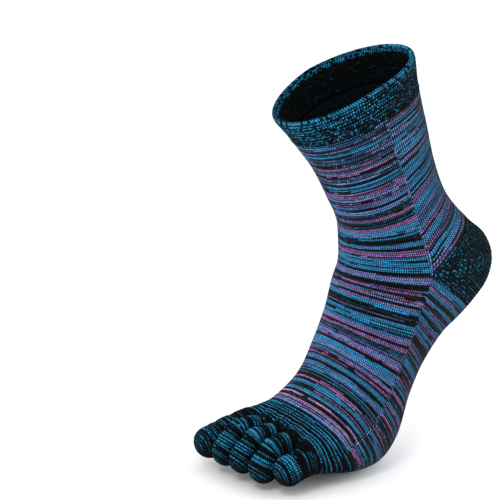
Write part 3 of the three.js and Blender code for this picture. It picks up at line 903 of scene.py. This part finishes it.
# name, across, half width, root x, z, knuckle ahead, down, tip ahead, down, thickness,
# depth of the folds in mm, chart
TOES = [
    ("toe_1_big", 0.389, 0.114, (-0.205, -0.887), (0.75, 0.143), (1.254, 0.311), 1.1, 0.8,
     """k3 a k1.6 a k1.6 a k t k1.6 a k a k a k2.4 a k a k1.6 t k t k1.6 t k t k1.6 n k t k1.6 n k t k n1.6
        k t k n1.6 k t"""),
    ("toe_2_long", 0.178, 0.092, (-0.24, -0.881), (0.604, -0.018), (0.95, 0.382), 1.0, 1.5,
     """k2.4 a k1.6 a k a k a k2.4 a k c k a k2.4 a k a k c k a k a k1.6 a k t k1.6 t k t k1.6 n k t k1.6
        n1.6"""),
    ("toe_3_middle", -0.011, 0.092, (-0.235, -0.881), (0.55, 0.007), (0.889, 0.382), 1.0, 2.0,
     """k2.4 a k1.6 a c k a k2.4 a k c k c a k2.4 a k1.6 a k a k a k1.6 a k t k1.6 a k1.6 t k n k t k1.6
        n1.6"""),
    ("toe_4_ring", -0.203, 0.094, (-0.235, -0.882), (0.475, 0.068), (0.732, 0.418), 1.04, 2.2,
     """k2.4 a k1.6 a k a k2.4 a k c a k a k2.4 a k c a k c a k1.6 a k t k1.6 a k1.6 t k n k t n1.6"""),
    ("toe_5_little", -0.402, 0.099, (-0.218, -0.9), (0.268, 0.036), (0.589, 0.15), 1.06, 2.2,
     """k2.4 a k1.6 a k a k1.6 a k1.6 a k a k1.6 a k c1.6 a k c k a k1.6 a k t k1.6 t k n k n"""),
]
TOE_ANGLES = 2 * np.pi * np.arange(TOE_COLUMNS) / TOE_COLUMNS
TOE_POWER = 2 / 2.3  # a section a little squarer than an ellipse
TOE_SIDEWAYS = signed_power(np.cos(TOE_ANGLES), TOE_POWER)
TOE_UPWARD = signed_power(np.sin(TOE_ANGLES), TOE_POWER)
TOE_GROOVE = GROOVE * (np.arange(TOE_COLUMNS) % SAMPLES == 0)
print("toes:", [toe[0] for toe in TOES])

# %% The rings of a toe


def toe_line(across, root, knuckle, tip):
    """The middle line in mm: a point inside the forefoot, the root, the knuckle, the tip."""
    start = side_point(root[0], root[1], np.array(across * WIDTH))
    stretch = TOE_LENGTH * np.array([[-knuckle[0], 0, -knuckle[1]], [-tip[0], 0, -tip[1]]])
    return np.vstack([start + [TOE_OVERLAP, 0, 0], start, start + stretch])


def toe_rings(line, half_thickness):
    """Centre, direction, size and place of every ring: one to a course along the line, then
    a dome whose rings shrink with the cosine as they move ahead with the sine. The place
    runs from 0 at the root to 1 at the dome."""
    length = np.linalg.norm(np.diff(line, axis=0), axis=1).sum()
    along = np.linspace(0, 3, int(round(length / COURSE)) + 1)
    at = np.clip(along, LINE_STEP, 3 - LINE_STEP)
    centre = curve(line, at)
    ahead = curve(line, at + LINE_STEP) - curve(line, at - LINE_STEP)
    ahead /= np.linalg.norm(ahead, axis=-1, keepdims=True)
    turn = np.linspace(0, np.pi / 2, DOME_ROWS + 1)[1:-1]
    dome = centre[-1] + ahead[-1] * half_thickness * np.sin(turn)[:, None]
    size = np.concatenate([np.interp(along, [0, 1, 3], [ROOT_SIZE, 1, 1]), np.cos(turn) ** DOME_POWER])
    place = np.concatenate([(along - 1) / 2, np.ones(len(turn))])
    return np.vstack([centre, dome]), np.vstack([ahead, np.repeat(ahead[-1:], len(turn), 0)]), size, place


def toe_grid(rings, half_width, half_thickness, inset, columns):
    """Points of the rings: width by the cosine and height by the sine, each to a power, less
    the inset of every point."""
    centre, ahead, size, _ = rings
    up = np.cross([0, 1.0, 0], ahead)
    wide = size[:, None] * np.maximum(half_width - inset, LEAST_HALF) * TOE_SIDEWAYS[columns]
    tall = size[:, None] * np.maximum(half_thickness - inset, LEAST_HALF) * TOE_UPWARD[columns]
    return centre[:, None] + wide[..., None] * [0, 1, 0] + tall[..., None] * up[:, None]


# %% Knit the toes
TOE_STREAKS = 0.04
FLANK_PAINTED_SHADE, TOP_PAINTED_LIGHT, TOE_PAINTED_LIGHT_LIMITS = 0.45, 0.85, (0.15, 1.2)  # painted shade at the side, painted light added on top, limits
FOLD_PAINTED_SHADE = 0.7  # painted shade: brightness that the deepest fold loses
FOLD_SIDE, FOLD_TOP = 0.55, 0.45  # share of a fold's depth at the side, and more on top


def toe_faces(rows, inner_count):
    """Outer and inner tubes, the strip between their roots, and a cap on each tip."""
    base = rows * TOE_COLUMNS
    cap_outer = (base - TOE_COLUMNS + np.arange(TOE_COLUMNS))[None, ::-1]
    cap_inner = (base + (rows - 1) * inner_count + np.arange(inner_count))[None]
    root_strip = strip(ring(0, TOE_COLUMNS, True), ring(base, inner_count, True), COARSE)
    return [
        quads(0, rows, TOE_COLUMNS, True), quads(base, rows, inner_count, True, True),
        root_strip, cap_outer, cap_inner]


def toe_colour(chart, fold, hidden):
    """Stitch colours from the chart, after the hidden courses inside the forefoot, with
    painted light and shade: lighter on top, darker down the flanks and underneath, and darker in the folds."""
    bands = np.concatenate([np.full(hidden, BLACK), stripes(chart, len(fold) - 1 - hidden)])
    colour = heathered(np.repeat(bands[:, None], TOE_WALES, 1), DARK_SPREAD, TOE_STREAKS)
    # top: painted light and shade by height round the toe, lighter on top and darker at the flanks and
    # underneath
    top = np.clip(FLANK_PAINTED_SHADE + TOP_PAINTED_LIGHT * TOE_UPWARD[::SAMPLES], *TOE_PAINTED_LIGHT_LIMITS)
    # and painted shade in the folds
    return colour * (top * (1 - FOLD_PAINTED_SHADE * fold[1:, None]))[..., None]


def toe_piece(name, across, half_width, root, knuckle, tip, thickness, fold_depth, chart):
    """One pocket: its rings, sunk by bell curves at the folds, an outer and an inner wall."""
    half_w, half_t = half_width * WIDTH - TOE_GAP, thickness * TOE_THICKNESS / 2
    rings = toe_rings(toe_line(across, root, knuckle, tip), half_t)
    place = rings[3]
    fold = sum(share * np.exp(-(((place - at) / FOLD_WIDTH) ** 2)) for at, share in FOLDS)
    sunk = fold_depth * fold[:, None] * (FOLD_SIDE + FOLD_TOP * TOE_UPWARD)
    every, some = np.arange(TOE_COLUMNS), np.arange(0, TOE_COLUMNS, COARSE)
    outer = toe_grid(rings, half_w, half_t, sunk + TOE_GROOVE, every)
    inner = toe_grid(rings, half_w, half_t, sunk[:, some] + WALL, some)
    points = np.vstack([outer.reshape(-1, 3), inner.reshape(-1, 3)])
    faces = toe_faces(len(outer), len(some))
    piece = make_piece(name + "_knit", points, faces, [0, 1, 1, 0, 1], [DARK, REVERSE_IN_PAINTED_SHADE])
    hidden = (len(outer) - DOME_ROWS) // 3 - 1  # courses of the line's first third, less one
    paint(piece, *corner_looks(toe_colour(chart, fold, hidden), TOE_COLUMNS, np.arange(len(outer))))
    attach(piece, "root")
    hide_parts(name)
    print(f"{name}: {len(outer)} rings")


for toe in TOES:
    toe_piece(*toe)

# %% [markdown]
# ## Floor, light and camera
# A white floor and broad soft lights, as in a product shot: the knit's relief is small, so a
# key light from the upper left rakes it, and a large fill on the right lights the heel's edge
# and keeps the dark yarn readable. The camera stands 30 degrees round from the side and 14
# degrees above level.

# %% Floor and light
FLOOR_SIZE, FLOOR_GAP = 12, 0.0004  # m, and how far the floor lies below the sole
BLOTCHES_PER_METRE = 40.0
WORLD_STRENGTH = 1.05
LIT_POINT = (0, 0, -0.12)  # the middle of the sock


def paper():
    """Matt white paper: no gloss, and a faint unevenness 25 mm across."""
    look, tree, shader = matt("matt_white_paper", 0.9, 0.1, 0.0)
    place = add(tree, "TexCoord", {})
    grain = add(tree, "TexNoise", {"Vector": place.outputs["Object"], "Scale": BLOTCHES_PER_METRE})
    tone = add(tree, "MapRange", {"Value": grain, "To Min": 0.97, "To Max": 1.0})
    plug(tree, shader, {"Base Color": tone})
    return look


bpy.ops.mesh.primitive_plane_add(size=FLOOR_SIZE)
floor = bpy.context.object
floor.name = "floor"
floor.data.transform(Matrix.Translation((0, 0, cad_box[0][2] - FLOOR_GAP)))
floor.data.materials.append(paper())

world = bpy.data.worlds.new("soft_white_room")
world.use_nodes = True
background = world.node_tree.nodes["Background"]
background.inputs["Color"].default_value = (1, 1, 1, 1)
background.inputs["Strength"].default_value = WORLD_STRENGTH
bpy.context.scene.world = world
bpy.context.scene.view_settings.view_transform = "Standard"


def area_light(name, place, aim, size, power):
    """A square soft box at place that faces aim."""
    data = bpy.data.lights.new(name, "AREA")
    data.size, data.energy = size, power
    light = bpy.data.objects.new(name, data)
    light.location = place
    light.rotation_euler = (Vector(aim) - Vector(place)).to_track_quat("-Z", "Y").to_euler()
    bpy.context.collection.objects.link(light)


area_light("key", (-0.9, -0.9, 0.9), LIT_POINT, 0.5, 9)
area_light("fill", (1.1, -0.7, 0.35), LIT_POINT, 0.8, 8)
print("floor at", round(cad_box[0][2] - FLOOR_GAP, 4), "m")

# %% Camera
AZIMUTH, ELEVATION, DISTANCE = np.radians(29.8), np.radians(14.1), 1.150  # m
FOCAL_PIXELS, FRAME_PIXELS, SENSOR = 1840.0, 500.0, 36.0  # the last in mm
SEEN_POINT, SEEN_AT = np.array([3.45, 0, -114.6]) * MM, np.array([345.0, 265.0])
level = np.cos(ELEVATION)
back = np.array([-np.sin(AZIMUTH) * level, -np.cos(AZIMUTH) * level, np.sin(ELEVATION)])
right = np.array([np.cos(AZIMUTH), -np.sin(AZIMUTH), 0])
upward = np.cross(back, right)
offset = (SEEN_AT - FRAME_PIXELS / 2) * DISTANCE / FOCAL_PIXELS
place = SEEN_POINT - right * offset[0] + upward * offset[1] + back * DISTANCE
camera_data = bpy.data.cameras.new("camera")
camera_data.sensor_width = SENSOR
camera_data.lens = SENSOR * FOCAL_PIXELS / FRAME_PIXELS
camera = bpy.data.objects.new("camera", camera_data)
columns = np.stack([right, upward, back, place], 1)
camera.matrix_world = Matrix(np.vstack([columns, [0, 0, 0, 1]]).tolist())
bpy.context.collection.objects.link(camera)
bpy.context.scene.camera = camera
print("camera at", np.round(place, 3), "lens", round(camera_data.lens, 1))
